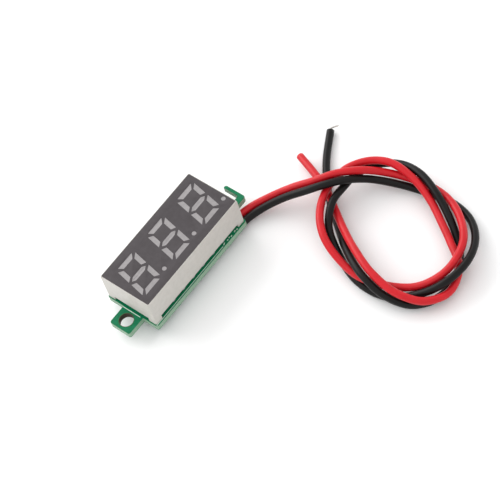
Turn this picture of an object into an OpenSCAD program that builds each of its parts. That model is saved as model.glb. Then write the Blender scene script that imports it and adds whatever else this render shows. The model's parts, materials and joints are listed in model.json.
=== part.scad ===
// Two-wire panel meter: a three-digit LED display on a small circuit board with two screw ears.
// Millimetres. X runs along the digits, Y is the digits' up, Z points out of the display's face.
// The origin is on the surface that the meter lies on, under the middle of the board.

/* [Circuit board] */
// Length of the board without its ears
board_l = 23; // [22.8:0.1:26]
// Width of the board
board_w = 10.5; // [10.2:0.1:13]
// Thickness of the board
board_t = 1.2; // [0.8:0.1:1.6]
// Corner radius of the board and its ears
board_r = 0.35; // [0.2:0.05:0.6]
// Height of the board's underside above the surface, the length of the pin tails
stand_off = 1.8; // [1.7:0.1:2.6]

/* [Screw ears] */
// How far each ear stands out of the board's end
ear_l = 3.5; // [3.4:0.1:4.5]
// Width of an ear
ear_w = 4.1; // [3.8:0.1:5]
// Sideways offset of both ears from the board's middle
ear_offset = -0.2; // [-0.6:0.1:0.6]
// Diameter of the screw hole in the left ear
ear_hole_d = 2.4; // [2:0.1:2.6]
// Distance from the screws' centres to the ears' outer edges
ear_hole_edge = 1.75; // [1.7:0.05:1.9]
// Width of the screw slot in the right ear, which is open at the top
ear_slot_w = 2.4; // [2:0.1:2.6]
// Distance from the right screw's centre to the slot's closed end
ear_slot_reach = 1; // [0.8:0.05:1.4]
// Corner radius of the slot's closed end
ear_slot_r = 0.4; // [0.3:0.05:0.6]

/* [Display housing] */
// Length of the display's face
display_l = 22.5; // [22:0.1:24]
// Width of the display's face
display_w = 10; // [9.7:0.1:11]
// Height of the display above the board
display_h = 6; // [5.6:0.1:7.5]
// Sideways offset of the display on the board
display_offset = 0.1; // [-0.1:0.05:0.2]
// How far the housing's foot stands out past the face on each side, the moulding draft
housing_draft = 0.1; // [0.05:0.05:0.15]
// Wall of the housing round its back pocket
housing_wall = 0.6; // [0.4:0.05:0.8]
// Corner radius of the housing
housing_r = 0.3; // [0.15:0.05:0.4]
// Side of each square corner foot
foot_side = 1.5; // [1:0.1:2.5]
// Open height between the feet, above the board
foot_h = 0.9; // [0.4:0.1:1.2]
// Thickness of the dark mask on the face
mask_t = 0.12; // [0.08:0.02:0.3]

/* [Digits] */
// Distance from one digit to the next
digit_pitch = 7.55; // [7.3:0.05:7.7]
// Height of a digit
digit_h = 6.9; // [6:0.1:7.2]
// Width of a digit, measured level
digit_w = 4.35; // [3.8:0.05:4.6]
// Width of a segment
segment_w = 0.83; // [0.7:0.01:1]
// Lean of the digits, in degrees
digit_lean = 10; // [0:1:12]
// Length cut off each segment at a digit's outer corners
corner_cut = 0.45; // [0.3:0.05:0.6]
// Run of the slanted segment ends
segment_mitre = 0.65; // [0.4:0.05:0.8]
// Distance from the digit's middle line to the upright segments' ends
waist_gap = 0.3; // [0.2:0.05:0.5]
// Diameter of the decimal point
point_d = 0.75; // [0.6:0.05:1]
// Level distance from the digit's middle to its decimal point
point_x = 2.9; // [2.7:0.02:3.1]
// Depth of the segment-shaped part of each light well
well_depth = 2.2; // [1:0.1:2.6]
// Diameter of the throat between a light well and its LED die
throat_d = 0.7; // [0.5:0.05:0.7]
// Side of a square LED die
die_side = 0.3; // [0.2:0.02:0.36]
// Height of an LED die
die_h = 0.15; // [0.1:0.01:0.2]

/* [Display back] */
// Thickness of the board that carries the LED dice
carrier_t = 0.8; // [0.5:0.1:1]
// Thickness of the resin that seals the display's back
potting_t = 1; // [0.6:0.1:1.2]
// Diameter of a display pin
pin_d = 0.5; // [0.4:0.05:0.6]
// Distance between pins in a row
pin_pitch = 2.54; // [2.5:0.02:2.6]
// Distance between the two rows of pins
pin_row_gap = 8.2; // [8.1:0.05:8.3]
// Number of pins in a row
pins_per_row = 6; // [2:1:6]
// How far a pin reaches into the carrier board
pin_grip = 0.4; // [0.2:0.05:0.5]
// Clearance round a pin in the circuit board's hole
pin_clearance = 0.15; // [0.05:0.05:0.2]
// Radius of a pin's solder cone at the board
solder_r = 0.6; // [0.5:0.05:0.65]
// Height of a pin's solder cone
solder_h = 0.9; // [0.5:0.1:1.2]

/* [Controller chip] */
// Length of the chip's body
chip_l = 6.5; // [5:0.1:6.6]
// Width of the chip's body
chip_w = 4.4; // [3.9:0.1:4.5]
// Thickness of the chip's body
chip_t = 1; // [0.8:0.1:1.2]
// Gap between the chip's body and the board
chip_gap = 0.1; // [0.05:0.01:0.15]
// Legs on each side of the chip
legs_per_side = 10; // [4:1:10]
// Distance from one leg to the next
leg_pitch = 0.65; // [0.6:0.01:0.65]
// Width of a leg
leg_w = 0.25; // [0.2:0.01:0.3]
// Thickness of a leg
leg_t = 0.15; // [0.1:0.01:0.2]
// How far the legs reach out of the body on each side
leg_reach = 1; // [0.8:0.05:1]

/* [Power parts] */
// Length of the regulator's body
regulator_l = 4.5; // [4:0.1:4.6]
// Width of the regulator's body
regulator_w = 2.5; // [2.2:0.1:2.6]
// Height of the regulator's body
regulator_h = 1.5; // [1.2:0.1:1.6]
// Thickness of the regulator's legs and tab
regulator_leg_t = 0.4; // [0.3:0.05:0.5]
// Length of the diode's body
diode_l = 2.7; // [2.4:0.1:2.8]
// Width of the diode's body
diode_w = 1.6; // [1.4:0.1:1.8]
// Height of the diode's body
diode_h = 1.1; // [0.9:0.1:1.4]
// Length of a capacitor over its ends
capacitor_l = 2; // [1.8:0.1:2.1]
// Width of a capacitor
capacitor_w = 1.25; // [1:0.05:1.3]
// Height of a capacitor
capacitor_h = 0.85; // [0.6:0.05:1.25]
// Length of a resistor over its ends
resistor_l = 1.6; // [1.5:0.05:1.7]
// Width of a resistor
resistor_w = 0.8; // [0.7:0.05:0.85]
// Height of a resistor
resistor_h = 0.45; // [0.35:0.05:0.6]

/* [Calibration trimmer] */
// Side of the trimmer's square base
trimmer_side = 3; // [2.8:0.1:3.1]
// Height of the trimmer's base
trimmer_base_h = 0.7; // [0.6:0.05:0.8]
// Diameter of the rotor's disc
rotor_d = 2.3; // [2:0.1:2.6]
// Thickness of the rotor's disc
rotor_t = 0.45; // [0.4:0.05:0.6]
// Diameter of the rotor's pivot
pivot_d = 0.8; // [0.6:0.05:1]
// Radial clearance of the pivot in its bore
pivot_clearance = 0.04; // [0.02:0.01:0.08]
// Gap between the base and the rotor's disc and head
rotor_gap = 0.05; // [0.03:0.01:0.08]
// Width of the screwdriver slots
slot_w = 0.35; // [0.25:0.05:0.5]

/* [Leads] */
// Outer diameter of a lead's insulation
lead_d = 1.3; // [1:0.05:1.3]
// Diameter of a lead's stranded core
core_d = 0.6; // [0.4:0.05:0.7]
// Radius of the solder joint that holds a core on its pad
joint_r = 0.62; // [0.5:0.02:0.65]
// Distance from the end of the insulation back to the solder joint
joint_back = 1; // [0.8:0.05:1.2]
// Diameter of the bare strands at the black lead's free end
tip_d = 0.3; // [0.2:0.05:0.5]

/* [Hidden] */
$fn = 48;
// Overshoot of cutting solids past the faces that they cut
past = 1;

// Levels, from the surface up
board_z = stand_off;
board_top = board_z + board_t;
resin_z = board_top + foot_h;
carrier_z = resin_z + potting_t;
die_z = carrier_z + carrier_t;
face_z = board_top + display_h;
mask_z = face_z - mask_t;
well_z = face_z - well_depth;

// Board
ear_end = board_l / 2 + ear_l;
ear_hole_x = ear_end - ear_hole_edge;

// Display
foot_l = display_l + 2 * housing_draft;
foot_w = display_w + 2 * housing_draft;
pocket_l = display_l - 2 * housing_wall;
pocket_w = display_w - 2 * housing_wall;
pin_x = [for (i = [0 : pins_per_row - 1]) (i - (pins_per_row - 1) / 2) * pin_pitch];
pin_y = [for (side = [-1, 1]) display_offset + side * pin_row_gap / 2];

// Digits: outlines of the segments of an upright digit, clockwise from the top, then the waist
half_w = digit_w / 2;
half_h = digit_h / 2;
inner_w = half_w - segment_w;
bar_x = half_w - corner_cut;
upright_y = half_h - corner_cut;
side_mitre = segment_mitre * 0.9;
waist_mitre = segment_mitre * 0.7;
point_y = -half_h + corner_cut + 0.1;
top_bar = [[-bar_x, half_h], [bar_x, half_h], [bar_x - segment_mitre, half_h - segment_w],
    [segment_mitre - bar_x, half_h - segment_w]];
right_upright = [[half_w, waist_gap], [half_w, upright_y], [inner_w, upright_y - side_mitre],
    [inner_w, waist_gap + waist_mitre]];
waist_bar = [[-bar_x, 0], [segment_mitre - bar_x, segment_w / 2], [bar_x - segment_mitre, segment_w / 2],
    [bar_x, 0], [bar_x - segment_mitre, -segment_w / 2], [segment_mitre - bar_x, -segment_w / 2]];
upright_mid = (upright_y + waist_gap) / 2;
bar_mid = half_h - segment_w / 2;
side_mid = half_w - segment_w / 2;
segments = [top_bar, right_upright, flip(right_upright, 1, -1), flip(top_bar, 1, -1),
    flip(right_upright, -1, -1), flip(right_upright, -1, 1), waist_bar];
segment_mids = [[0, bar_mid], [side_mid, upright_mid], [side_mid, -upright_mid], [0, -bar_mid],
    [-side_mid, -upright_mid], [-side_mid, upright_mid], [0, 0]];
// Middle of the decimal point beside an upright digit, which the lean brings to point_x
point_mid = [point_x - point_y * tan(digit_lean), point_y];

// Places of the parts on the board's underside: x, y and turn in degrees
chip_place = [-0.8, 0.1];
regulator_place = [6, 0.9];
diode_place = [9.4, 2.2];
capacitor_places = [[5.6, -2.5, 0], [9.4, -0.6, 0], [-8.4, 3.2, 0]];
resistor_places = [[-10.1, -3.4, 90], [-10.1, -1.2, 90], [-10.1, 1.2, 90], [-10.1, 3.4, 90],
    [-4.72, -1.5, 90], [-4.72, 1.7, 90], [3.3, -2, 90], [3.3, 0.1, 90], [3.3, 2.2, 90], [-8.4, -3.2, 0]];
trimmer_place = [-7.2, 0.1];
capacitor_end_l = 0.4;
resistor_end_l = 0.3;
terminal_t = 0.3;
terminal_w = 0.6;
terminal_h = 0.5;
terminal_y = 0.9;
rivet_r = pivot_d / 2 + 0.12;
rivet_h = 0.2;
rotor_z = board_z - trimmer_base_h - rotor_gap - rotor_t;
slot_depth = rotor_t / 2;

// Routes of the two free leads, from the end of the insulation under the board to the free end
red_route = [[10.4, -2.5, 1.1], [12.5, -2.7, 1.1], [14.5, -3.3, 1.2], [17.4, -5.1, 1.8],
    [20.3, -7.7, 2.9], [22.8, -10.8, 4.2], [25.3, -13.2, 4.9], [28.2, -16.3, 4.6],
    [30.8, -19.1, 2.7], [32.3, -23.2, 2], [32.7, -27, 2], [31.9, -31, 2.4], [29.6, -34.7, 2.9],
    [26.1, -37.6, 3.6], [20.9, -38.2, 3.3], [16.7, -35.3, 1.8], [14.4, -31.1, 1.6],
    [13.2, -26.5, 2], [13.8, -22.4, 2.4], [15.7, -17.8, 3.6], [18.9, -14.8, 3.8], [24, -13, 3.4],
    [27.9, -13.6, 3.5], [30.9, -16.1, 3.7], [32, -18.5, 3.9], [31.9, -23.5, 3.4], [30.4, -28, 2.5],
    [28, -32, 2.1], [26, -35, 2.1], [22.4, -39.3, 2.1], [18.4, -40.2, 2], [14.9, -38.1, 2.5],
    [13.4, -34, 3.4], [13.9, -29, 4.2], [16, -24, 4], [18.6, -19.6, 2.7], [21, -16, 2.1],
    [23, -13, 2.1], [24.9, -8.8, 1.8], [26.6, -4.3, 1.3]];
black_route = [[10.4, -4, 1.1], [12.6, -4.2, 1.1], [14.6, -5, 1.4], [18.2, -7.8, 2.8],
    [20.6, -10.8, 4.2], [22.6, -12.9, 4.9], [25, -15, 4.8], [28.1, -17.4, 3], [30.5, -21.5, 1.6],
    [32.2, -27, 0.7], [32.5, -31, 0.8], [31.3, -35, 1.4], [28, -38.5, 2.5], [23.4, -40.1, 3.6],
    [18.9, -39.2, 3.3], [15.3, -35.8, 1.6], [13, -31.5, 0.7], [12.9, -26.2, 0.7], [15.1, -21, 1.1],
    [17.8, -17.2, 2.8], [21.5, -15.5, 3.9], [24.5, -15.1, 3.3], [28, -15, 2.5], [31, -16.3, 2.3],
    [33.3, -20.1, 2.7], [33.2, -24, 3.4], [31.8, -28, 3.4], [30, -31.5, 2.5], [28, -34.5, 1.5],
    [25, -37.5, 0.8], [21.5, -39, 0.7], [16.9, -38.7, 0.8], [13.7, -36.2, 1.3], [12.4, -32, 2.5],
    [12.9, -28, 3.6], [15.4, -22.9, 2.8], [19, -18, 0.9], [23, -13, 0.7], [28, -8.6, 0.7],
    [33.5, -5.3, 0.7]];
// Route of the bare strands beyond the black lead's free end
tip_route = [[33.5, -5.3, 0.7], [33.8, -5.1, 0.7], [34.4, -5.5, 0.8], [35, -6, 0.8]];
lead_sides = 8;

// An outline scaled by signs in x and y
function flip(outline, x, y) = [for (p = outline) [x * p[0], y * p[1]]];
// A point of an upright digit, moved to its place in the leaning digit
function lean(p) = [p[0] + p[1] * tan(digit_lean), p[1]];
function unit(v) = v / norm(v);
// Direction of a route at one of its points
function heading(route, i) =
    i == 0 ? unit(route[1] - route[0]) :
    i == len(route) - 1 ? unit(route[i] - route[i - 1]) :
    unit(unit(route[i] - route[i - 1]) + unit(route[i + 1] - route[i]));
// Ring of points round a route at one of its points, square to its heading
function ring(route, i, radius) =
    let (ahead = heading(route, i), side = unit(cross(ahead, [0, 0, 1])), up = cross(side, ahead))
    [for (k = [0 : lead_sides - 1])
        route[i] + radius * (cos(360 * (k + 0.5) / lead_sides) * side + sin(360 * (k + 0.5) / lead_sides) * up)];

// A flat rectangle with rounded corners, centred on the origin
module rounded_plate(length, width, radius) {
    square([length - 2 * radius, width], center = true);
    square([length, width - 2 * radius], center = true);
    for (x = [-1, 1], y = [-1, 1])
        translate([x * (length / 2 - radius), y * (width / 2 - radius)])
            circle(radius);
}

// A block hanging under the circuit board
module hanging_block(length, width, height, gap = 0) {
    translate([-length / 2, -width / 2, board_z - gap - height])
        cube([length, width, height]);
}

// A round tube swept along a route
module swept_tube(route, diameter) {
    count = len(route);
    last = (count - 1) * lead_sides;
    polyhedron(
        points = [for (i = [0 : count - 1]) each ring(route, i, diameter / 2)],
        faces = concat(
            [[for (k = [0 : lead_sides - 1]) k]],
            [for (i = [0 : count - 2], k = [0 : lead_sides - 1])
                let (a = i * lead_sides + k, b = i * lead_sides + (k + 1) % lead_sides)
                [a, a + lead_sides, b + lead_sides, b]],
            [[for (k = [lead_sides - 1 : -1 : 0]) last + k]]));
}

module at_pins() {
    for (x = pin_x, y = pin_y)
        translate([x, y, 0])
            children();
}

module at_digit(index) {
    translate([index * digit_pitch, display_offset, 0])
        children();
}

// Light wells of one digit, from the LED dice up to a given height
module light_wells(top) {
    for (i = [0 : len(segments) - 1]) {
        translate([0, 0, well_z])
            linear_extrude(top - well_z)
                polygon([for (p = segments[i]) lean(p)]);
        translate([each lean(segment_mids[i]), die_z])
            cylinder(d = throat_d, h = well_z - die_z);
    }
    translate([each lean(point_mid), well_z])
        cylinder(d = point_d, h = top - well_z);
    translate([each lean(point_mid), die_z])
        cylinder(d = throat_d, h = well_z - die_z);
}

module digit_dice() {
    for (p = concat(segment_mids, [point_mid]))
        translate([each lean(p), die_z])
            translate([-die_side / 2, -die_side / 2, 0])
                cube([die_side, die_side, die_h]);
}

module digit_light_guides(index) {
    color("#a39ea1")
        at_digit(index)
            difference() {
                light_wells(face_z);
                digit_dice();
            }
}

// Outline of the right ear's slot, which runs out over the ear's upper edge
module ear_slot() {
    open_end = ear_w / 2 + past;
    translate([ear_hole_x, ear_offset + (open_end - ear_slot_reach) / 2])
        rounded_plate(ear_slot_w, open_end + ear_slot_reach, ear_slot_r);
}

module circuit_board() {
    color("#17804f")
        translate([0, 0, board_z])
            linear_extrude(board_t)
                difference() {
                    union() {
                        rounded_plate(board_l, board_w, board_r);
                        translate([0, ear_offset])
                            rounded_plate(2 * ear_end, ear_w, board_r);
                    }
                    translate([-ear_hole_x, ear_offset])
                        circle(d = ear_hole_d);
                    ear_slot();
                    for (x = pin_x, y = pin_y)
                        translate([x, y])
                            circle(d = pin_d + 2 * pin_clearance);
                }
}

// Side view of the display, narrowing by its draft from the foot to the face
module drafted_side(foot, face, depth) {
    rotate([90, 0, 0])
        linear_extrude(depth, center = true)
            polygon([[-foot / 2, board_top], [foot / 2, board_top], [face / 2, face_z], [-face / 2, face_z]]);
}

// Outside of the display between two levels
module display_block(bottom, top) {
    translate([0, display_offset, 0])
        intersection() {
            translate([0, 0, bottom])
                linear_extrude(top - bottom)
                    rounded_plate(foot_l, foot_w, housing_r);
            drafted_side(foot_l, display_l, foot_w + past);
            rotate(90)
                drafted_side(foot_w, display_w, foot_l + past);
        }
}

module display_housing() {
    color("#c9c5bd")
        difference() {
            display_block(board_top, mask_z);
            // Back pocket for the carrier board and its resin
            translate([-pocket_l / 2, display_offset - pocket_w / 2, resin_z])
                cube([pocket_l, pocket_w, die_z - resin_z]);
            // Openings between the corner feet
            translate([-foot_l / 2 + foot_side, display_offset - foot_w / 2 - past, board_top - past])
                cube([foot_l - 2 * foot_side, foot_w + 2 * past, foot_h + past]);
            translate([-foot_l / 2 - past, display_offset - foot_w / 2 + foot_side, board_top - past])
                cube([foot_l + 2 * past, foot_w - 2 * foot_side, foot_h + past]);
            for (index = [-1 : 1])
                at_digit(index)
                    light_wells(face_z);
        }
}

module face_mask() {
    color("#5c5759")
        difference() {
            display_block(mask_z, face_z);
            for (index = [-1 : 1])
                at_digit(index)
                    light_wells(face_z + past);
        }
}

module left_digit() {
    digit_light_guides(-1);
}

module middle_digit() {
    digit_light_guides(0);
}

module right_digit() {
    digit_light_guides(1);
}

module led_dice() {
    color("#d8b23c")
        for (index = [-1 : 1])
            at_digit(index)
                digit_dice();
}

module led_carrier() {
    color("#e4dfcf")
        difference() {
            translate([-pocket_l / 2, display_offset - pocket_w / 2, carrier_z])
                cube([pocket_l, pocket_w, carrier_t]);
            at_pins()
                translate([0, 0, carrier_z - past])
                    cylinder(d = pin_d, h = pin_grip + past);
        }
}

module back_resin() {
    color("#b9b7ac")
        difference() {
            translate([-pocket_l / 2, display_offset - pocket_w / 2, resin_z])
                cube([pocket_l, pocket_w, potting_t]);
            at_pins()
                translate([0, 0, resin_z - past])
                    cylinder(d = pin_d, h = potting_t + 2 * past);
        }
}

module display_pins() {
    color("#c4c6c8")
        at_pins()
            cylinder(d = pin_d, h = carrier_z + pin_grip);
}

module pin_solder() {
    color("#b5b8bb")
        at_pins()
            difference() {
                translate([0, 0, board_z - solder_h])
                    cylinder(r1 = pin_d / 2 + 0.08, r2 = solder_r, h = solder_h);
                cylinder(d = pin_d, h = board_z + past);
            }
}

module controller_chip() {
    dot_r = 0.3;
    dot_depth = 0.08;
    color("#232427")
        translate([each chip_place, 0])
            difference() {
                hanging_block(chip_l, chip_w, chip_t, chip_gap);
                translate([dot_r * 2.5 - chip_l / 2, chip_w / 2 - dot_r * 2.5,
                        board_z - chip_gap - chip_t - past])
                    cylinder(r = dot_r, h = dot_depth + past);
            }
}

// One bent leg, from the chip's side to the board
module chip_leg() {
    leg_z = board_z - chip_gap - chip_t / 2;
    bend = leg_reach * 0.3;
    foot = leg_reach * 0.55;
    rotate([90, 0, 90])
        linear_extrude(leg_w, center = true)
            polygon([[0, leg_z - leg_t], [bend, leg_z - leg_t], [foot, board_z - leg_t], [leg_reach, board_z - leg_t],
                [leg_reach, board_z], [foot - leg_t / 2, board_z], [bend - leg_t / 2, leg_z], [0, leg_z]]);
}

module controller_legs() {
    color("#c3c5c7")
        translate([each chip_place, 0])
            for (side = [0, 180], i = [0 : legs_per_side - 1])
                rotate(side)
                    translate([(i - (legs_per_side - 1) / 2) * leg_pitch, chip_w / 2, 0])
                        chip_leg();
}

module regulator_body() {
    color("#26272a")
        translate([each regulator_place, 0])
            hanging_block(regulator_w, regulator_l, regulator_h);
}

module regulator_legs() {
    leg_l = 0.75;
    side_leg_w = 0.45;
    tab_w = 1.8;
    color("#c3c5c7")
        translate([each regulator_place, 0]) {
            for (y = [-1.5, 0, 1.5])
                translate([-regulator_w / 2 - leg_l / 2, y, 0])
                    hanging_block(leg_l, side_leg_w, regulator_leg_t);
            translate([regulator_w / 2 + leg_l / 2, 0, 0])
                hanging_block(leg_l, tab_w, regulator_leg_t);
        }
}

module diode_body() {
    color("#26272a")
        translate([each diode_place, 0])
            hanging_block(diode_w, diode_l, diode_h);
}

module diode_legs() {
    leg_l = 0.5;
    leg_width = 0.7;
    color("#c3c5c7")
        translate([each diode_place, 0])
            for (side = [-1, 1])
                translate([0, side * (diode_l + leg_l) / 2, 0])
                    hanging_block(leg_width, leg_l, leg_t);
}

// The middle or the two plated ends of each small part with two ends
module two_ended_parts(places, length, width, height, end_l, ends) {
    for (place = places)
        translate([place[0], place[1], 0])
            rotate(place[2])
                if (ends)
                    for (side = [-1, 1])
                        translate([side * (length - end_l) / 2, 0, 0])
                            hanging_block(end_l, width, height);
                else
                    hanging_block(length - 2 * end_l, width, height);
}

module capacitor_bodies() {
    color("#a98f6a")
        two_ended_parts(capacitor_places, capacitor_l, capacitor_w, capacitor_h, capacitor_end_l, false);
}

module capacitor_ends() {
    color("#b9bcbf")
        two_ended_parts(capacitor_places, capacitor_l, capacitor_w, capacitor_h, capacitor_end_l, true);
}

module resistor_bodies() {
    color("#1f2023")
        two_ended_parts(resistor_places, resistor_l, resistor_w, resistor_h, resistor_end_l, false);
}

module resistor_ends() {
    color("#b9bcbf")
        two_ended_parts(resistor_places, resistor_l, resistor_w, resistor_h, resistor_end_l, true);
}

module trimmer_base() {
    head_room = rivet_h + 2 * rotor_gap;
    color("#e8e6df")
        translate([each trimmer_place, 0])
            difference() {
                hanging_block(trimmer_side, trimmer_side, trimmer_base_h);
                translate([0, 0, board_z - trimmer_base_h - past])
                    cylinder(r = pivot_d / 2 + pivot_clearance, h = trimmer_base_h + 2 * past);
                translate([0, 0, board_z - head_room])
                    cylinder(r = rivet_r + rotor_gap, h = head_room + past);
            }
}

module trimmer_terminals() {
    reach = (trimmer_side + terminal_t) / 2;
    color("#c3c5c7")
        translate([each trimmer_place, 0])
            for (place = [[-reach, -terminal_y], [-reach, terminal_y], [reach, 0]])
                translate([each place, 0])
                    hanging_block(terminal_t, terminal_w, terminal_h);
}

// Slotted disc under the base, with a pivot through it and a rivet head above
module trimmer_rotor() {
    color("#cfae62")
        translate([each trimmer_place, 0])
            difference() {
                union() {
                    translate([0, 0, rotor_z])
                        cylinder(d = rotor_d, h = rotor_t);
                    translate([0, 0, rotor_z])
                        cylinder(d = pivot_d, h = board_z - rotor_gap - rotor_z);
                    translate([0, 0, board_z - rotor_gap - rivet_h])
                        cylinder(r = rivet_r, h = rivet_h);
                }
                for (turn = [0, 90])
                    rotate(turn)
                        translate([-rotor_d * 0.35, -slot_w / 2, rotor_z - past])
                            cube([rotor_d * 0.7, slot_w, slot_depth + past]);
            }
}

// The start of a route, with X along the route
module at_start(route) {
    ahead = heading(route, 0);
    translate(route[0])
        rotate(atan2(ahead[1], ahead[0]))
            children();
}

// Stripped end of a lead, from its solder joint to the end of the insulation
module bare_core(route) {
    color("#c98b58")
        at_start(route)
            rotate([0, -90, 0])
                cylinder(d = core_d, h = joint_back + joint_r);
}

module solder_joint(route) {
    color("#b5b8bb")
        difference() {
            at_start(route)
                translate([-joint_back, 0, 0]) {
                    sphere(joint_r);
                    cylinder(r = joint_r, h = board_z - route[0][2]);
                }
            bare_core(route);
        }
}

module red_core() {
    bare_core(red_route);
}

module black_core() {
    bare_core(black_route);
}

module red_joint() {
    solder_joint(red_route);
}

module black_joint() {
    solder_joint(black_route);
}

module red_lead() {
    color("#c9343a")
        swept_tube(red_route, lead_d);
}

module black_lead() {
    color("#1d1a1b")
        swept_tube(black_route, lead_d);
}

module black_lead_tip() {
    color("#c9c2b4")
        swept_tube(tip_route, tip_d);
}

circuit_board();
display_housing();
face_mask();
left_digit();
middle_digit();
right_digit();
led_dice();
led_carrier();
back_resin();
display_pins();
pin_solder();
controller_chip();
controller_legs();
regulator_body();
regulator_legs();
diode_body();
diode_legs();
capacitor_bodies();
capacitor_ends();
resistor_bodies();
resistor_ends();
trimmer_base();
trimmer_terminals();
trimmer_rotor();
red_core();
black_core();
red_joint();
black_joint();
red_lead();
black_lead();
black_lead_tip();
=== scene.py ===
"""Dresses the two-wire panel meter: materials, the detailed display, the board's trim and the two leads."""
import json
import math

import bmesh
import bpy
from mathutils import Matrix, Vector


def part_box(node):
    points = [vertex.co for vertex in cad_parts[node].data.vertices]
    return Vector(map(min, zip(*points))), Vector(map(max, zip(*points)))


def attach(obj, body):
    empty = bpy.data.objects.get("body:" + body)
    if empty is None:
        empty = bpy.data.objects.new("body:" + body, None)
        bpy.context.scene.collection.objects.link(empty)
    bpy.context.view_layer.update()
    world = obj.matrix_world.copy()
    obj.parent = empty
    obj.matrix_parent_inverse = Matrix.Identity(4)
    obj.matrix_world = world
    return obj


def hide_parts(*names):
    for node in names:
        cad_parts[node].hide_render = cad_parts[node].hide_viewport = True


MM = 0.001

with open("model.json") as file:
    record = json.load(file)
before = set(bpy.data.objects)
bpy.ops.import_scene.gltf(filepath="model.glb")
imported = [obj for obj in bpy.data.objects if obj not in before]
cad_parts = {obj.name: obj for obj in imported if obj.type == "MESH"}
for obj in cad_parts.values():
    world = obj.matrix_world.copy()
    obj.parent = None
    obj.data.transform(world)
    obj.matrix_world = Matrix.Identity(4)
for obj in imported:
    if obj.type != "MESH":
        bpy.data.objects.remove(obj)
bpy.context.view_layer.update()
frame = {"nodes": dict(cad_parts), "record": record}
nodes = frame["nodes"]

# ---------------------------------------------------------------- sizes, in millimetres

LEAD_D = 1.3
LEAD_SIDES = 28

RED_ROUTE = [
    (10.4, -2.5, 1.1), (12.5, -2.7, 1.1), (14.5, -3.3, 1.2), (17.4, -5.1, 1.8), (20.3, -7.7, 2.9),
    (22.8, -10.8, 4.2), (25.3, -13.2, 4.9), (28.2, -16.3, 4.6), (30.8, -19.1, 2.7), (32.3, -23.2, 2),
    (32.7, -27, 2), (31.9, -31, 2.4), (29.6, -34.7, 2.9), (26.1, -37.6, 3.6), (20.9, -38.2, 3.3),
    (16.7, -35.3, 1.8), (14.4, -31.1, 1.6), (13.2, -26.5, 2), (13.8, -22.4, 2.4), (15.7, -17.8, 3.6),
    (18.9, -14.8, 3.8), (24, -13, 3.4), (27.9, -13.6, 3.5), (30.9, -16.1, 3.7), (32, -18.5, 3.9),
    (31.9, -23.5, 3.4), (30.4, -28, 2.5), (28, -32, 2.1), (26, -35, 2.1), (22.4, -39.3, 2.1),
    (18.4, -40.2, 2), (14.9, -38.1, 2.5), (13.4, -34, 3.4), (13.9, -29, 4.2), (16, -24, 4),
    (18.6, -19.6, 2.7), (21, -16, 2.1), (23, -13, 2.1), (24.9, -8.8, 1.8), (26.6, -4.3, 1.3)]
BLACK_ROUTE = [
    (10.4, -4, 1.1), (12.6, -4.2, 1.1), (14.6, -5, 1.4), (18.2, -7.8, 2.8), (20.6, -10.8, 4.2),
    (22.6, -12.9, 4.9), (25, -15, 4.8), (28.1, -17.4, 3), (30.5, -21.5, 1.6), (32.2, -27, 0.7),
    (32.5, -31, 0.8), (31.3, -35, 1.4), (28, -38.5, 2.5), (23.4, -40.1, 3.6), (18.9, -39.2, 3.3),
    (15.3, -35.8, 1.6), (13, -31.5, 0.7), (12.9, -26.2, 0.7), (15.1, -21, 1.1), (17.8, -17.2, 2.8),
    (21.5, -15.5, 3.9), (24.5, -15.1, 3.3), (28, -15, 2.5), (31, -16.3, 2.3), (33.3, -20.1, 2.7),
    (33.2, -24, 3.4), (31.8, -28, 3.4), (30, -31.5, 2.5), (28, -34.5, 1.5), (25, -37.5, 0.8),
    (21.5, -39, 0.7), (16.9, -38.7, 0.8), (13.7, -36.2, 1.3), (12.4, -32, 2.5), (12.9, -28, 3.6),
    (15.4, -22.9, 2.8), (19, -18, 0.9), (23, -13, 0.7), (28, -8.6, 0.7), (33.5, -5.3, 0.7)]
TIP_ROUTE = [(33.5, -5.3, 0.7), (33.8, -5.1, 0.7), (34.4, -5.5, 0.8), (35, -6, 0.8)]
TIP_D = 0.3
TIP_STRANDS = 5
TIP_STRAND_SHARE = 0.36
TIP_TWIST = 2.4
BORE_R = 0.32
BORE_DEPTH = 0.5
CUT_RIM = 0.05
CORE_R = 0.3
CORE_STRAND_R = 0.1
CORE_TWIST = 1.6
STRAND_SIDES = 8

HOLE_X = -13.25
HOLE_Y = -0.2
HOLE_WALL_R = 1.23
HOLE_RING_R = 1.30
BOARD_Z = 1.8
BOARD_TOP = 3.0
PRINT_T = 0.02
TRACK_T = 0.02
PAD_T = 0.025
TRACK_W = 0.2
FACE_Z = 9.0
FACE_Y = 0.1
FACE_HALF_L = 11.25
FACE_HALF_W = 5.0
RIM_W = 0.09
MASK_DROP = 0.015
GUIDE_DROP = 0.03
GUIDE_RIM_W = 0.07
GUIDE_DISH = 0.006
WINDOW_R = 0.07
PIN_PITCH = 2.54
PIN_XS = [(i - 2.5) * PIN_PITCH for i in range(6)]
PIN_YS = (-4.0, 4.2)
# places of the parts under the board, as x, y and turn in degrees
RESISTORS = ((-10.1, -3.4, 90), (-10.1, -1.2, 90), (-10.1, 1.2, 90), (-10.1, 3.4, 90), (-4.72, -1.5, 90),
             (-4.72, 1.7, 90), (3.3, -2, 90), (3.3, 0.1, 90), (3.3, 2.2, 90), (-8.4, -3.2, 0))
CAPACITORS = ((5.6, -2.5, 0), (9.4, -0.6, 0), (-8.4, 3.2, 0))
# printed boxes round parts, as middle, length and width
PART_PRINTS = ((-7.2, 0.1, 4.3, 3.5), (-0.8, 0.1, 7.1, 4.8), (9.4, 2.2, 2.1, 4.4), (5.6, -2.5, 2.9, 1.7),
               (-8.4, 3.2, 2.9, 1.7), (9.4, -0.6, 2.9, 1.6))
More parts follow.
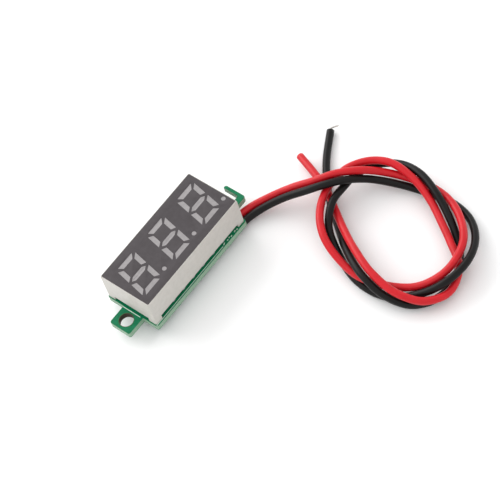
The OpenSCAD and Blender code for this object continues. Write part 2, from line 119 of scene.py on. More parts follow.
# tracks under the board, each as the points that it runs through
TRACES = (
    ((-10.1, -4.5), (-7.4, -4.5), (-6.8, -4.9), (5.4, -4.9), (7.6, -4.2), (7.6, -2.4), (9.0, -2.4)),
    ((-9.2, -4.0), (-8.2, -2.4), (-8.2, -2.0)), ((-10.1, -0.2), (-9.4, -0.2), (-9.1, -0.8)),
    ((-10.1, 0.3), (-9.4, 0.6), (-9.0, 1.0)),
    ((-10.1, 4.4), (-9.0, 4.8), (9.6, 4.8), (10.2, 4.2), (10.2, 3.9)),
    ((-5.2, 0.1), (-4.72, 0.4), (-4.72, 0.8)), ((-4.72, -2.4), (-4.0, -2.9), (-3.8, -3.1)),
    ((3.3, 1.0), (4.0, 1.4), (4.0, 2.1)), ((3.3, -0.9), (2.4, -1.6), (2.1, -2.6)),
    ((4.0, -0.6), (4.6, -1.4), (4.6, -1.8)), ((6.6, -2.5), (7.2, -2.0), (8.2, -1.2), (8.4, -0.6)),
    ((8.0, 0.9), (8.6, 0.4), (8.6, 0.1)), ((-3.4, 3.3), (-3.4, 3.8)), ((-1.5, 3.3), (-1.27, 4.2)),
    ((0.4, 3.3), (1.27, 4.2)), ((1.8, 3.3), (3.81, 4.2)), ((-2.8, -3.1), (-3.81, -4.0)),
    ((-0.9, -3.1), (-1.27, -4.0)), ((1.0, -3.1), (1.27, -4.0)), ((2.1, -3.1), (3.81, -4.0)))
VIAS = ((-5.9, -2.7), (-5.9, 3.0), (-8.1, -2.1), (4.7, -0.9), (7.3, -1.4), (2.2, 3.9), (-6.2, -4.5),
        (8.2, 4.3), (10.8, 1.0), (-11.0, 0.1), (10.9, -0.9), (4.4, 3.9))
# bare pads under the board, as middle, length and width
PADS = ((-9.15, -0.8, 0.8, 0.9), (-9.15, 1.0, 0.8, 0.9), (-5.25, 0.1, 0.8, 0.9), (8.3, 0.9, 0.9, 2.1))

# ---------------------------------------------------------------- camera and studio

CAMERA_PLACE = Vector((-0.10077, -0.16484, 0.29728))
CAMERA_AZIMUTH = math.radians(-34.813)
CAMERA_ELEVATION = math.radians(57.213)
CAMERA_ROLL = math.radians(-19.973)
CAMERA_LENS = 158.4
SENSOR_WIDTH = 36
WORLD_STRENGTH = 1.22
TENT_FRONT = 0.85
SOFTBOX_WATTS = 2.2
SOFTBOX_PLACE = (-0.02, 0.48, 0.34)
SOFTBOX_AIM = (0.01, -0.01, 0)


def make_camera():
    """The photo's viewpoint: azimuth and elevation of the camera, then its roll."""
    camera = bpy.data.objects.new("camera", bpy.data.cameras.new("camera"))
    bpy.context.scene.collection.objects.link(camera)
    camera.data.lens = CAMERA_LENS
    camera.data.sensor_width = SENSOR_WIDTH
    camera.data.clip_start = 0.01
    back = Vector((
        math.sin(CAMERA_AZIMUTH) * math.cos(CAMERA_ELEVATION),
        -math.cos(CAMERA_AZIMUTH) * math.cos(CAMERA_ELEVATION),
        math.sin(CAMERA_ELEVATION)))
    level = Vector((math.cos(CAMERA_AZIMUTH), math.sin(CAMERA_AZIMUTH), 0))
    above = back.cross(level)
    right = level * math.cos(CAMERA_ROLL) + above * math.sin(CAMERA_ROLL)
    up = above * math.cos(CAMERA_ROLL) - level * math.sin(CAMERA_ROLL)
    turn = Matrix((right, up, back)).transposed()
    camera.matrix_world = Matrix.Translation(CAMERA_PLACE) @ turn.to_4x4()
    bpy.context.scene.camera = camera


def area_light(name, place, aim, width, height, power):
    """A rectangular lamp, in metres and watts, turned to face a point."""
    light = bpy.data.lights.new(name, "AREA")
    light.shape = "RECTANGLE"
    light.size = width
    light.size_y = height
    light.energy = power
    lamp = bpy.data.objects.new(name, light)
    bpy.context.scene.collection.objects.link(lamp)
    lamp.location = place
    lamp.rotation_mode = "QUATERNION"
    lamp.rotation_quaternion = (Vector(aim) - Vector(place)).to_track_quat("-Z", "Y")


def make_studio():
    """A pale tent, brighter behind the meter than in front, and one softbox behind and above it."""
    scene = bpy.context.scene
    scene.view_settings.view_transform = "Standard"
    scene.view_settings.look = "None"
    world = bpy.data.worlds.new("studio")
    scene.world = world
    world.use_nodes = True
    tree = world.node_tree
    sky = tree.nodes["Background"]
    sky.inputs["Strength"].default_value = WORLD_STRENGTH
    way = tree.nodes.new("ShaderNodeTexCoord")
    split = tree.nodes.new("ShaderNodeSeparateXYZ")
    tree.links.new(way.outputs["Generated"], split.inputs[0])
    tent = tree.nodes.new("ShaderNodeValToRGB")
    low, high = tent.color_ramp.elements
    low.position, low.color = 0.25, (*[TENT_FRONT] * 3, 1)
    high.position, high.color = 0.85, (1, 1, 1, 1)
    spread_y = tree.nodes.new("ShaderNodeMapRange")
    spread_y.inputs["From Min"].default_value = -1
    tree.links.new(split.outputs["Y"], spread_y.inputs["Value"])
    tree.links.new(spread_y.outputs["Result"], tent.inputs["Fac"])
    tree.links.new(tent.outputs["Color"], sky.inputs["Color"])
    area_light("softbox", SOFTBOX_PLACE, SOFTBOX_AIM, 0.7, 0.4, SOFTBOX_WATTS)


# ---------------------------------------------------------------- node materials

def new_material(name):
    material = bpy.data.materials.new(name)
    material.use_nodes = True
    tree = material.node_tree
    shader = tree.nodes["Principled BSDF"]
    return material, tree, shader


def node(tree, kind, **settings):
    made = tree.nodes.new(kind)
    for key, value in settings.items():
        setattr(made, key, value)
    return made


def object_place(tree):
    return node(tree, "ShaderNodeTexCoord").outputs["Object"]


def noise(tree, place, per_mm, detail=3.0, roughness=0.5):
    """Noise with the given number of features in a millimetre, as a value from 0 to 1."""
    made = node(tree, "ShaderNodeTexNoise")
    made.inputs["Scale"].default_value = per_mm / MM
    made.inputs["Detail"].default_value = detail
    made.inputs["Roughness"].default_value = roughness
    tree.links.new(place, made.inputs["Vector"])
    return made.outputs["Fac"]


def ramp(tree, value, stops):
    """Colours or greys at given values; each stop is (value, (r, g, b))."""
    made = node(tree, "ShaderNodeValToRGB")
    elements = made.color_ramp.elements
    while len(elements) < len(stops):
        elements.new(0.5)
    for element, (position, colour) in zip(elements, stops):
        element.position = position
        element.color = (*colour, 1)
    tree.links.new(value, made.inputs["Fac"])
    return made.outputs["Color"]


def spread(tree, value, low, high, from_low=0.35, from_high=0.65):
    """The value's usual range moved to low .. high."""
    made = node(tree, "ShaderNodeMapRange")
    made.inputs["From Min"].default_value = from_low
    made.inputs["From Max"].default_value = from_high
    made.inputs["To Min"].default_value = low
    made.inputs["To Max"].default_value = high
    tree.links.new(value, made.inputs["Value"])
    return made.outputs["Result"]


def math_node(tree, operation, first, second=0.0):
    made = node(tree, "ShaderNodeMath", operation=operation)
    for socket, value in zip(made.inputs, (first, second)):
        if isinstance(value, (int, float)):
            socket.default_value = value
        else:
            tree.links.new(value, socket)
    return made.outputs[0]


def mix_colours(tree, factor, first, second):
    made = node(tree, "ShaderNodeMix", data_type="RGBA")
    tree.links.new(factor, made.inputs["Factor"])
    for socket, value in ((made.inputs["A"], first), (made.inputs["B"], second)):
        if isinstance(value, tuple):
            socket.default_value = (*value, 1)
        else:
            tree.links.new(value, socket)
    return made.outputs["Result"]


def bump(tree, shader, height, depth_mm, strength=1.0):
    made = node(tree, "ShaderNodeBump")
    made.inputs["Strength"].default_value = strength
    made.inputs["Distance"].default_value = depth_mm * MM
    tree.links.new(height, made.inputs["Height"])
    tree.links.new(made.outputs["Normal"], shader.inputs["Normal"])


def insulation_material(name, dark, light, roughness, gloss):
    """Soft PVC: faint mottling, fine drag lines and a soft gloss."""
    material, tree, shader = new_material(name)
    place = object_place(tree)
    mottling = noise(tree, place, 0.5, 4)
    grain = noise(tree, place, 9, 5, 0.6)
    tree.links.new(ramp(tree, mottling, [(0.3, dark), (0.7, light)]), shader.inputs["Base Color"])
    tree.links.new(spread(tree, grain, roughness - 0.06, roughness + 0.08), shader.inputs["Roughness"])
    shader.inputs["IOR"].default_value = 1.52
    shader.inputs["Specular IOR Level"].default_value = gloss
    shader.inputs["Subsurface Weight"].default_value = 0.06
    shader.inputs["Subsurface Radius"].default_value = (0.0006, 0.0002, 0.0002)
    bump(tree, shader, grain, 0.006, 0.5)
    return material


def plastic_material(name, dark, light, roughness, per_mm=1.2, grain_mm=0.004, subsurface=0.0, gloss=0.5):
    """Moulded plastic or ink: slow tone changes over a fine grain."""
    material, tree, shader = new_material(name)
    place = object_place(tree)
    tone = noise(tree, place, per_mm, 4)
    grain = noise(tree, place, 14, 4, 0.65)
    tree.links.new(ramp(tree, tone, [(0.3, dark), (0.7, light)]), shader.inputs["Base Color"])
    tree.links.new(spread(tree, grain, roughness - 0.05, roughness + 0.06), shader.inputs["Roughness"])
    shader.inputs["IOR"].default_value = 1.5
    shader.inputs["Specular IOR Level"].default_value = gloss
    shader.inputs["Subsurface Weight"].default_value = subsurface
    shader.inputs["Subsurface Radius"].default_value = (0.0008, 0.0007, 0.0006)
    bump(tree, shader, grain, grain_mm, 0.6)
    return material


def metal_material(name, dark, light, roughness, per_mm=3.0, grain_mm=0.006):
    """Plated or bare metal with a little unevenness in tone and gloss."""
    material, tree, shader = new_material(name)
    place = object_place(tree)
    tone = noise(tree, place, per_mm, 4)
    grain = noise(tree, place, 20, 4, 0.6)
    tree.links.new(ramp(tree, tone, [(0.3, dark), (0.7, light)]), shader.inputs["Base Color"])
    tree.links.new(spread(tree, grain, roughness - 0.08, roughness + 0.1), shader.inputs["Roughness"])
    shader.inputs["Metallic"].default_value = 1.0
    bump(tree, shader, grain, grain_mm, 0.5)
    return material


def board_material():
    """Glossy green solder mask above and below, greenish glass-fibre edges with thin layers."""
    material, tree, shader = new_material("green_board")
    place = object_place(tree)
    split = node(tree, "ShaderNodeSeparateXYZ")
    tree.links.new(place, split.inputs[0])
    low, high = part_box("circuit_board")
    geometry = node(tree, "ShaderNodeNewGeometry")
    facing = node(tree, "ShaderNodeSeparateXYZ")
    tree.links.new(geometry.outputs["Normal"], facing.inputs[0])
    flat = math_node(tree, "GREATER_THAN", math_node(tree, "ABSOLUTE", facing.outputs["Z"]), 0.7)
    weave = noise(tree, place, 2.5, 2)
    mask = ramp(tree, weave, [(0.3, (0.001, 0.135, 0.055)), (0.7, (0.003, 0.185, 0.078))])
    layers = node(tree, "ShaderNodeTexWave", wave_type="BANDS", bands_direction="Z")
    layers.inputs["Scale"].default_value = 1.1 / MM
    layers.inputs["Distortion"].default_value = 1.5
    layers.inputs["Detail"].default_value = 3
    tree.links.new(place, layers.inputs["Vector"])
    fibre = ramp(tree, layers.outputs["Fac"], [(0.1, (0.13, 0.27, 0.17)), (0.9, (0.36, 0.47, 0.36))])
    # the mask's own thickness shows as a dark line along the top and bottom of each edge
    middle = (low.z + high.z) / 2
    from_middle = math_node(tree, "ABSOLUTE", math_node(tree, "SUBTRACT", split.outputs["Z"], middle))
    rim = math_node(tree, "GREATER_THAN", from_middle, (high.z - low.z) / 2 - 0.07 * MM)
    edge = mix_colours(tree, rim, fibre, (0.01, 0.14, 0.07))
    # the drilled wall of the left screw hole is painted dark, as painted shade inside the hole, and a thin
    # dark olive ring of the same painted shade lies round its mouth
    dx = math_node(tree, "SUBTRACT", split.outputs["X"], HOLE_X * MM)
    dy = math_node(tree, "SUBTRACT", split.outputs["Y"], HOLE_Y * MM)
    squares = math_node(
        tree, "ADD", math_node(tree, "MULTIPLY", dx, dx), math_node(tree, "MULTIPLY", dy, dy))
    from_hole = math_node(tree, "SQRT", squares)
    hole_shade_mask = math_node(tree, "LESS_THAN", from_hole, HOLE_WALL_R * MM)
    edge = mix_colours(tree, hole_shade_mask, edge, (0.035, 0.022, 0.012))
    # painted shade: a thin dark ring on the board's face round the hole's mouth
    hole_mouth_shade_mask = math_node(tree, "LESS_THAN", from_hole, HOLE_RING_R * MM)
    mask = mix_colours(tree, hole_mouth_shade_mask, mask, (0.05, 0.10, 0.035))
    tree.links.new(mix_colours(tree, flat, edge, mask), shader.inputs["Base Color"])
    tree.links.new(spread(tree, flat, 0.55, 0.28, 0, 1), shader.inputs["Roughness"])
    shader.inputs["IOR"].default_value = 1.5
    shader.inputs["Specular IOR Level"].default_value = 0.2
    shader.inputs["Subsurface Weight"].default_value = 0.08
    shader.inputs["Subsurface Radius"].default_value = (0.0004, 0.0012, 0.0006)
    grain = noise(tree, place, 7, 3)
    bump(tree, shader, grain, 0.006, 0.5)
    return material


def segment_material():
    """Milky light guides, paler along the rim as painted light, standing in for the light that the housing's
    white wells send back through the guide's edge.
    """
    material, tree, shader = new_material("light_guide")
    rim = node(tree, "ShaderNodeAttribute", attribute_name="rim").outputs["Fac"]
    place = object_place(tree)
    cloud = noise(tree, place, 2.2, 3)
    middle = ramp(tree, cloud, [(0.3, (0.255, 0.24, 0.243)), (0.7, (0.295, 0.277, 0.28))])
    # the paler rim colour is painted light, for the light that the white wells send back through the guide's
    # edge
    tree.links.new(mix_colours(tree, rim, middle, (0.33, 0.312, 0.315)), shader.inputs["Base Color"])
    grain = noise(tree, place, 12, 3)
    tree.links.new(spread(tree, grain, 0.42, 0.55), shader.inputs["Roughness"])
    shader.inputs["IOR"].default_value = 1.5
    shader.inputs["Subsurface Weight"].default_value = 0.3
    shader.inputs["Subsurface Radius"].default_value = (0.0005, 0.0005, 0.0005)
    bump(tree, shader, grain, 0.003, 0.5)
    return material


MATERIALS = {
    "red_insulation": insulation_material("red_insulation", (0.50, 0.003, 0.009), (0.58, 0.006, 0.014),
                                          0.34, 0.3),
    "black_insulation": insulation_material("black_insulation", (0.0022, 0.0018, 0.0018),
                                            (0.0045, 0.0038, 0.0036), 0.36, 0.2),
    "housing_plastic": plastic_material("housing_plastic", (0.49, 0.472, 0.436), (0.535, 0.516, 0.48), 0.5,
                                        subsurface=0.15),
    "mask_ink": plastic_material("mask_ink", (0.060, 0.053, 0.056), (0.070, 0.062, 0.066), 0.6, gloss=0.2),
    "silkscreen": plastic_material("silkscreen", (0.55, 0.72, 0.60), (0.68, 0.82, 0.70), 0.6, 6),
    "covered_copper": plastic_material("covered_copper", (0.008, 0.24, 0.10), (0.012, 0.30, 0.13), 0.3, 2.5,
                                       0.006, gloss=0.3),
    "carrier_board": plastic_material("carrier_board", (0.62, 0.58, 0.47), (0.72, 0.68, 0.56), 0.6),
    "sealing_resin": plastic_material("sealing_resin", (0.40, 0.39, 0.34), (0.50, 0.48, 0.42), 0.3,
                                      grain_mm=0.01, subsurface=0.1),
    "led_crystal": plastic_material("led_crystal", (0.55, 0.36, 0.08), (0.7, 0.5, 0.15), 0.25),
    "chip_black": plastic_material("chip_black", (0.012, 0.012, 0.013), (0.022, 0.022, 0.024), 0.5, 6, 0.01),
    "tan_ceramic": plastic_material("tan_ceramic", (0.30, 0.19, 0.10), (0.42, 0.29, 0.16), 0.45, 5),
    "resistor_black": plastic_material("resistor_black", (0.008, 0.008, 0.01), (0.016, 0.016, 0.02), 0.25, 5),
    "white_ceramic": plastic_material("white_ceramic", (0.70, 0.69, 0.65), (0.8, 0.79, 0.75), 0.4, 4),
    "plated_pin": metal_material("plated_pin", (0.58, 0.58, 0.57), (0.72, 0.72, 0.71), 0.3),
    "solder": metal_material("solder", (0.55, 0.56, 0.57), (0.75, 0.76, 0.77), 0.22, 5),
    "trimmer_brass": metal_material("trimmer_brass", (0.62, 0.45, 0.18), (0.80, 0.62, 0.30), 0.3),
    "copper_strand": metal_material("copper_strand", (0.62, 0.33, 0.19), (0.80, 0.48, 0.30), 0.32),
    "tinned_strand": metal_material("tinned_strand", (0.50, 0.48, 0.45), (0.66, 0.64, 0.60), 0.35),
    "green_board": board_material(),
    "light_guide": segment_material(),
    "floor": plastic_material("floor", (0.90, 0.90, 0.90), (0.915, 0.915, 0.915), 0.7, 0.02, 0.001),
}


# ---------------------------------------------------------------- mesh helpers

def piece_from(mesh_builder, name, material, body="meter", smooth=True):
    """Makes an object from a bmesh in millimetres, gives it its material and rides it on its body."""
    mesh = bpy.data.meshes.new(name)
    bmesh.ops.scale(mesh_builder, vec=(MM, MM, MM), verts=mesh_builder.verts)
    bmesh.ops.recalc_face_normals(mesh_builder, faces=mesh_builder.faces)
    mesh_builder.to_mesh(mesh)
    mesh_builder.free()
    made = bpy.data.objects.new(name, mesh)
    bpy.context.scene.collection.objects.link(made)
    mesh.materials.append(MATERIALS[material])
    if smooth:
        mesh.shade_smooth()
    if body:
        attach(made, body)
    return made


def smooth_curve(route, steps):
    """Points along one smooth curve through a route's points."""
    points = [Vector(p) for p in route]
    gaps = [(b - a).length for a, b in zip(points, points[1:])]
    ways = [(b - a).normalized() for a, b in zip(points, points[1:])]
    slopes = [ways[0]]
    for before, after, way_in, way_out in zip(gaps, gaps[1:], ways, ways[1:]):
        slopes.append((way_in * after + way_out * before) / (before + after))
    slopes.append(ways[-1])
    curve = []
    for i, gap in enumerate(gaps):
        for k in range(steps):
            t = k / steps
            curve.append(
                (2 * t**3 - 3 * t**2 + 1) * points[i] + (t**3 - 2 * t**2 + t) * gap * slopes[i]
                + (3 * t**2 - 2 * t**3) * points[i + 1] + (t**3 - t**2) * gap * slopes[i + 1])
    curve.append(points[-1])
    return curve


def headings(curve):
    last = len(curve) - 1
    return [(curve[min(i + 1, last)] - curve[max(i - 1, 0)]).normalized() for i in range(last + 1)]


def sweep(builder, curve, ways, radii, sides):
    """A closed tube of rings round a curve, without twist; ways are the curve's headings."""
    side = ways[0].cross(Vector((0, 0, 1))).normalized()
    rings = []
    for place, way, radius in zip(curve, ways, radii):
        side = (side - way * side.dot(way)).normalized()
        up = side.cross(way)
        turns = [2 * math.pi * k / sides for k in range(sides)]
        rings.append([builder.verts.new(place + radius * (math.cos(turn) * side + math.sin(turn) * up))
                      for turn in turns])
    for lower, upper in zip(rings, rings[1:]):
        for k in range(sides):
            builder.faces.new((lower[k], lower[(k + 1) % sides], upper[(k + 1) % sides], upper[k]))
    builder.faces.new(rings[0])
    builder.faces.new(rings[-1])


def lengths_along(curve):
    """How far along a curve each of its points lies."""
    lengths = [0.0]
    for before, place in zip(curve, curve[1:]):
        lengths.append(lengths[-1] + (place - before).length)
    return lengths


def make_lead(name, route, material):
    """Insulation with a rounded rim at each cut end and the bore of its strands."""
    curve = smooth_curve(route, 9)
    ways = headings(curve)
    radius = LEAD_D / 2
    radii = [radius * (1 - 0.008 + 0.008 * math.sin(length * 0.9) * math.sin(length * 0.37))
             for length in lengths_along(curve)]
    start = [curve[0] + ways[0] * BORE_DEPTH, curve[0], curve[0], curve[0] + ways[0] * CUT_RIM]
    end = [curve[-1] - ways[-1] * CUT_RIM, curve[-1], curve[-1], curve[-1] - ways[-1] * BORE_DEPTH]
    full_radii = ([BORE_R, BORE_R, radius - CUT_RIM, radii[0]] + radii[1:-1]
                  + [radii[-1], radius - CUT_RIM, BORE_R, BORE_R])
    full_ways = [ways[0]] * 4 + ways[1:-1] + [ways[-1]] * 4
    builder = bmesh.new()
    sweep(builder, start + curve[1:-1] + end, full_ways, full_radii, LEAD_SIDES)
    return piece_from(builder, name, material)


def strands(builder, line, ring_r, strand_r, around, twist, middle=False, uneven=False):
    """Strands twisted about a line, with one more along it if asked; uneven ones end at odd places."""
    ways = headings(line)
    for strand in range(around + middle):
        reach = 0 if strand == around else ring_r
        places = []
        for place, way, length in zip(line, ways, lengths_along(line)):
            side = way.cross(Vector((0, 0, 1))).normalized()
            up = side.cross(way)
            turn = 2 * math.pi * strand / around + length * twist
            places.append(place + reach * (math.cos(turn) * side + math.sin(turn) * up))
        if uneven:
            places = places[:len(places) - (strand * 2) % 5]
        sweep(builder, places, headings(places), [strand_r] * len(places), STRAND_SIDES)


def make_tip(name):
    """A few bare strands, lightly twisted together."""
    builder = bmesh.new()
    strand_r = TIP_D / 2 * TIP_STRAND_SHARE
    strands(builder, smooth_curve(TIP_ROUTE, 8), TIP_D / 2 - strand_r, strand_r, TIP_STRANDS, TIP_TWIST,
            uneven=True)
    return piece_from(builder, name, "tinned_strand")


def make_leads():
    """Both leads along their routes, and the bare strands at the black one's end."""
    tip = make_tip("bare_strands")
    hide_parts("black_lead_tip")
    red = make_lead("red_wire", RED_ROUTE, "red_insulation")
    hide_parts("red_lead")
    black = make_lead("black_wire", BLACK_ROUTE, "black_insulation")
    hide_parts("black_lead")


def cad_copy(cad_name):
    """A CAD node's mesh in millimetres, joined up and with its flat faces whole."""
    builder = bmesh.new()
    builder.from_mesh(nodes[cad_name].data)
    bmesh.ops.scale(builder, vec=(1 / MM, 1 / MM, 1 / MM), verts=builder.verts)
    bmesh.ops.remove_doubles(builder, verts=builder.verts, dist=0.0005)
    bmesh.ops.dissolve_limit(builder, angle_limit=math.radians(0.5), verts=builder.verts,
                             edges=builder.edges)
    return builder


def stand_in(builder, cad_name, name, material, body="meter"):
    """Makes a piece that keeps its sharp edges and stands for a CAD node."""
    made = piece_from(builder, name, material, body)
    made.data.set_sharp_from_angle(angle=math.radians(38))
    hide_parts(cad_name)


def rounded_copy(cad_name, name, width, material, body="meter", shape=None):
    """A copy of a CAD node whose sharp edges are rounded to a width in mm; it stands for the node.
    shape(bmesh) may first work on the copy, in millimetres."""
    builder = cad_copy(cad_name)
    if shape:
        shape(builder)
    sharp = [e for e in builder.edges if len(e.link_faces) == 2 and e.calc_face_angle(0) > math.radians(35)]
    bmesh.ops.bevel(builder, geom=sharp, offset=width, segments=2, profile=0.6, affect="EDGES",
                    clamp_overlap=True)
    stand_in(builder, cad_name, name, material, body)


def upright_edges(builder, low):
    """The upright edges that reach above a level."""
    found = []
    for e in builder.edges:
        a, b = (v.co for v in e.verts)
        if max(a.z, b.z) > low and abs(a.z - b.z) > 0.1 and (a - b).xy.length < 0.001:
            found.append(e)
    return found


def round_windows(builder):
    """Rounds the upright corners of the windows, or of the guides that fill them."""
    corners = [e for e in upright_edges(builder, FACE_Z - 0.13) if e.calc_face_angle(0) > math.radians(20)]
    bmesh.ops.bevel(builder, geom=corners, offset=WINDOW_R, segments=2, profile=0.5, affect="EDGES",
                    clamp_overlap=True)


def shape_mask(builder):
    """Pulls the mask in from the housing's edge, which stands round it as a thin rim."""
    for v in builder.verts:
        if abs(v.co.x) > FACE_HALF_L - 0.35:
            v.co.x -= math.copysign(RIM_W, v.co.x)
        if abs(v.co.y - FACE_Y) > FACE_HALF_W - 0.35:
            v.co.y -= math.copysign(RIM_W, v.co.y - FACE_Y)
        if v.co.z > FACE_Z - 0.01:
            v.co.z -= MASK_DROP
    round_windows(builder)


def outline(half_l, half_w, radius, z, y, steps=5):
    """A level rectangle with round corners, about x = 0 and the given y."""
    points = []
    for quarter, (sx, sy) in enumerate(((1, 1), (-1, 1), (-1, -1), (1, -1))):
        for k in range(steps + 1):
            turn = math.radians(90 * (quarter + k / steps))
            points.append(Vector((sx * (half_l - radius) + radius * math.cos(turn),
                                  y + sy * (half_w - radius) + radius * math.sin(turn), z)))
    return points


def bridge(builder, loops, closed=False):
    """Joins loops of points with faces, in order; returns their vertices."""
    rings = [[builder.verts.new(p) for p in loop] for loop in loops]
    pairs = list(zip(rings, rings[1:])) + ([(rings[-1], rings[0])] if closed else [])
    for lower, upper in pairs:
        count = len(lower)
        for k in range(count):
            builder.faces.new((lower[k], lower[(k + 1) % count], upper[(k + 1) % count], upper[k]))
    return rings


def make_face_rim():
    """The housing's own thin edge round the mask."""
    builder = bmesh.new()
    bottom = FACE_Z - 0.12
    sizes = ((0.0, bottom), (0.0, FACE_Z - 0.04), (0.035, FACE_Z), (RIM_W, FACE_Z), (RIM_W + 0.01, bottom))
    bridge(builder, [outline(FACE_HALF_L - inset, FACE_HALF_W - inset, 0.3 - inset, z, FACE_Y)
                     for inset, z in sizes], closed=True)
    piece_from(builder, "face_rim", "housing_plastic")


def make_digit(cad_name, name):
    """Light guides, each sunk a little in its window, with a paler rim painted on as painted light."""
    builder = cad_copy(cad_name)
    round_windows(builder)
    # the rim layer marks where the paler rim of painted light goes; the inset tops are left out of it
    rim = builder.verts.layers.float.new("rim")
    for v in builder.verts:
        v[rim] = 1.0
        if v.co.z > FACE_Z - 0.01:
            v.co.z -= GUIDE_DROP
    builder.normal_update()
    tops = [f for f in builder.faces if f.normal.z > 0.9 and f.calc_center_median().z > FACE_Z - 0.1]
    bmesh.ops.inset_individual(builder, faces=tops, thickness=GUIDE_RIM_W, depth=0.0, use_even_offset=True)
    for face in tops:
        for v in face.verts:
            v[rim] = 0.0
            v.co.z -= GUIDE_DISH
    stand_in(builder, cad_name, name, "light_guide")


def plate(builder, x, y, length, width, z, height, turn=0.0):
    """A flat pad or print with slightly sloping sides, grown from a level by a height, up or down."""
    rings = []
    for level, grow in ((z, 0.0), (z + height, -abs(height))):
        rings.append([
            Vector((x, y, level)) + Matrix.Rotation(math.radians(turn), 3, "Z") @ Vector((
                sx * (length / 2 + grow), sy * (width / 2 + grow), 0))
            for sx, sy in ((1, 1), (-1, 1), (-1, -1), (1, -1))])
    made = bridge(builder, rings)
    builder.faces.new(made[0])
    builder.faces.new(made[1])


def trace(builder, points, width, z, height):
    """A run of plates from point to point, which overlap a little at the corners."""
    for (ax, ay), (bx, by) in zip(points, points[1:]):
        length = math.hypot(bx - ax, by - ay)
        plate(builder, (ax + bx) / 2, (ay + by) / 2, length + width * 0.8, width, z, height,
              math.degrees(math.atan2(by - ay, bx - ax)))


def disc_ring(builder, x, y, outer, inner, z, height, sides=24):
    """A flat ring grown from a level by a height, up or down."""
    def circle(radius, level):
        return [Vector((x + radius * math.cos(2 * math.pi * k / sides),
                        y + radius * math.sin(2 * math.pi * k / sides), level)) for k in range(sides)]
    bridge(builder, [circle(outer, z), circle(outer - abs(height), z + height), circle(inner, z + height),
                     circle(inner, z)], closed=True)


def make_prints():
    """Printed outline of the display and small marks above; outlines of the parts below."""
    builder = bmesh.new()
    trace(builder, [(-11.4, -5.06), (5.6, -5.06)], 0.1, BOARD_TOP, PRINT_T)
    trace(builder, [(-11.66, -1.75), (-11.66, 1.8)], 0.13, BOARD_TOP, PRINT_T)
    trace(builder, [(-11.4, 5.16), (11.3, 5.16)], 0.08, BOARD_TOP, PRINT_T)
    for x, y, length in ((6.1, -4.92, 0.5), (7.0, -4.95, 0.3), (7.5, -4.86, 0.25), (7.9, -5.0, 0.35),
                         (8.9, -4.9, 0.4), (9.4, -4.98, 0.3)):
        plate(builder, x, y, length, 0.16, BOARD_TOP, PRINT_T, 18)
    for x, y, length, width in PART_PRINTS:
        corners = [(x + sx * length / 2, y + sy * width / 2) for sx, sy in
                   ((1, 1), (-1, 1), (-1, -1), (1, -1), (1, 1))]
        trace(builder, corners, 0.1, BOARD_Z, -PRINT_T)
    # pin one of the chip, and the two signs beside the lead pads
    disc_ring(builder, -4.5, 2.9, 0.16, 0.02, BOARD_Z, -PRINT_T, 16)
    plate(builder, 8.2, -2.45, 0.6, 0.12, BOARD_Z, -PRINT_T)
    plate(builder, 8.2, -2.45, 0.12, 0.6, BOARD_Z, -PRINT_T)
    plate(builder, 8.2, -3.95, 0.6, 0.12, BOARD_Z, -PRINT_T)
    piece_from(builder, "board_prints", "silkscreen", smooth=False)


def make_traces():
    """Copper tracks that show as low ridges under the green mask, and open vias."""
    builder = bmesh.new()
    for points in TRACES:
        trace(builder, points, TRACK_W, BOARD_Z, -TRACK_T)
    piece_from(builder, "board_tracks", "covered_copper", smooth=False)
    builder = bmesh.new()
    for x, y in VIAS:
        disc_ring(builder, x, y, 0.26, 0.11, BOARD_Z, -PAD_T)
    for x in PIN_XS:
        for y in PIN_YS:
            disc_ring(builder, x, y, 0.72, 0.42, BOARD_Z, -TRACK_T)
            disc_ring(builder, x, y, 0.62, 0.42, BOARD_TOP, TRACK_T)
    for x, y, length, width in PADS:
        plate(builder, x, y, length, width, BOARD_Z, -PAD_T)
    piece_from(builder, "board_pads", "solder", smooth=False)


def fillet(builder, x, y, turn, reach, width, height):
    """Concave solder between a part's end face and its pad; turn is the way that the face looks."""
    profile = ((0, 0), (reach, 0), (reach * 0.5, 0.16 * height), (reach * 0.2, 0.42 * height),
               (0.01, 0.82 * height), (-0.02, 0.82 * height))
    around = Matrix.Rotation(math.radians(turn), 3, "Z")
    loops = []
    for side, scale in ((-1, 0.7), (-0.8, 1.0), (0.8, 1.0), (1, 0.7)):
        loops.append([
            Vector((x, y, BOARD_Z))
            + around @ Vector((u * scale, side * width / 2, -v * (0.5 + 0.5 * scale)))
            for u, v in profile])
    rings = bridge(builder, loops)
    builder.faces.new(rings[0])
    builder.faces.new(rings[-1])


def make_solder():
    """Fillets at resistors, capacitors, chip, regulator, diode and trimmer, in that order."""
    builder = bmesh.new()
    for places, half, width, height in ((RESISTORS, 0.8, 0.8, 0.45), (CAPACITORS, 1.0, 1.25, 0.85)):
        for x, y, turn in places:
            for side in (0, 180):
                way = math.radians(turn + side)
                fillet(builder, x + half * math.cos(way), y + half * math.sin(way), turn + side, 0.3,
                       width * 1.05, height * 0.8)
    for i in range(10):
        for side in (1, -1):
            fillet(builder, -0.8 + (i - 4.5) * 0.65, 0.1 + side * 3.2, 90 * side, 0.22, 0.3, 0.14)
    for y in (-1.5, 0, 1.5):
        fillet(builder, 4.0, 0.9 + y, 180, 0.35, 0.6, 0.35)
    fillet(builder, 8.0, 0.9, 0, 0.35, 1.9, 0.35)
    for side in (1, -1):
        fillet(builder, 9.4, 2.2 + side * 1.85, 90 * side, 0.25, 0.8, 0.14)
    for x, y, turn in ((-9.0, -0.8, 180), (-9.0, 1.0, 180), (-5.4, 0.1, 0)):
        fillet(builder, x, y, turn, 0.3, 0.7, 0.45)
    piece_from(builder, "solder_fillets", "solder")


def lathe(builder, x, y, profile, sides=28):
    """A turned shape about an upright axis; the profile is a list of (radius, height)."""
    loops = [[
        Vector((x + r * math.cos(2 * math.pi * k / sides), y + r * math.sin(2 * math.pi * k / sides), z))
        for k in range(sides)] for r, z in profile]
    rings = bridge(builder, loops)
    builder.faces.new(rings[0])
    builder.faces.new(rings[-1])


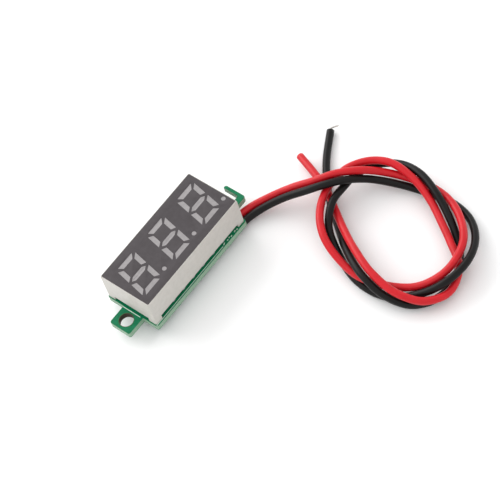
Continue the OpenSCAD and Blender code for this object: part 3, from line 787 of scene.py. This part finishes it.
def make_pin_solder():
    """A concave cone round each display pin, in one piece."""
    builder = bmesh.new()
    for x in PIN_XS:
        for y in PIN_YS:
            lathe(builder, x, y, ((0.6, BOARD_Z), (0.585, BOARD_Z - 0.06), (0.47, BOARD_Z - 0.2),
                                  (0.385, BOARD_Z - 0.4), (0.345, BOARD_Z - 0.6), (0.32, BOARD_Z - 0.8),
                                  (0.28, BOARD_Z - 0.87), (0.24, BOARD_Z - 0.88)))
    made = piece_from(builder, "pin_joints", "solder")
    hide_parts("pin_solder")


def make_lead_start(colour, route):
    """Stranded core from its solder mound to the end of the insulation."""
    start = Vector(route[0])
    way = (Vector(route[1]) - start).normalized()
    middle = start - way
    builder = bmesh.new()
    lathe(builder, middle.x, middle.y, ((0.62, BOARD_Z), (0.60, 1.7), (0.54, 1.56), (0.53, 1.4), (0.57, 1.2),
                                        (0.58, 1.05), (0.54, 0.82), (0.42, 0.62), (0.22, 0.51), (0.05, 0.49)))
    mound = piece_from(builder, colour + "_mound", "solder")
    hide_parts(colour + "_joint")
    builder = bmesh.new()
    line = [start - way * (1.6 - 0.1 * k) for k in range(20)]
    strands(builder, line, CORE_R - CORE_STRAND_R, CORE_STRAND_R, 6, CORE_TWIST, middle=True)
    core = piece_from(builder, colour + "_strands", "copper_strand")
    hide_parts(colour + "_core")


def make_board_trim():
    """Everything on the board but the display, with the rotor on its own body."""
    make_prints()
    make_traces()
    make_solder()
    make_pin_solder()
    make_lead_start("red", RED_ROUTE)
    make_lead_start("black", BLACK_ROUTE)
    for cad_name, name, width, material in (
            ("controller_chip", "chip_package", 0.07, "chip_black"),
            ("controller_legs", "chip_leads", 0.02, "plated_pin"),
            ("regulator_body", "regulator_package", 0.1, "chip_black"),
            ("regulator_legs", "regulator_leads", 0.06, "plated_pin"),
            ("diode_body", "diode_package", 0.1, "chip_black"),
            ("diode_legs", "diode_leads", 0.03, "plated_pin"),
            ("capacitor_bodies", "capacitor_blocks", 0.05, "tan_ceramic"),
            ("capacitor_ends", "capacitor_caps", 0.09, "solder"),
            ("resistor_bodies", "resistor_blocks", 0.03, "resistor_black"),
            ("resistor_ends", "resistor_caps", 0.06, "solder"),
            ("trimmer_base", "trimmer_block", 0.07, "white_ceramic"),
            ("trimmer_terminals", "trimmer_tabs", 0.05, "plated_pin"),
            ("display_pins", "display_pin_wires", 0.06, "plated_pin"),
            ("back_resin", "resin_fill", 0.05, "sealing_resin"),
            ("led_carrier", "carrier_plate", 0.03, "carrier_board")):
        rounded_copy(cad_name, name, width, material)
    rounded_copy("trimmer_rotor", "trimmer_disc", 0.04, "trimmer_brass", body="adjuster")


def make_display():
    """Housing, mask and rim, and the three digits in their windows."""
    rounded_copy("display_housing", "display_case", 0.05, "housing_plastic")
    rounded_copy("face_mask", "mask_sheet", 0.012, "mask_ink", shape=shape_mask)
    make_face_rim()
    for side in ("left", "middle", "right"):
        make_digit(side + "_digit", side + "_segments")


def make_floor():
    builder = bmesh.new()
    bmesh.ops.create_grid(builder, x_segments=1, y_segments=1, size=1500)
    floor = piece_from(builder, "floor", "floor", body=None)


make_camera()
make_studio()
make_leads()
make_display()
make_board_trim()
make_floor()

for name, cad in nodes.items():
    slot = next(part["material_slot"] for part in frame["record"]["subparts"] if part["node"] == name)
    cad.data.materials.clear()
    cad.data.materials.append(MATERIALS[slot])
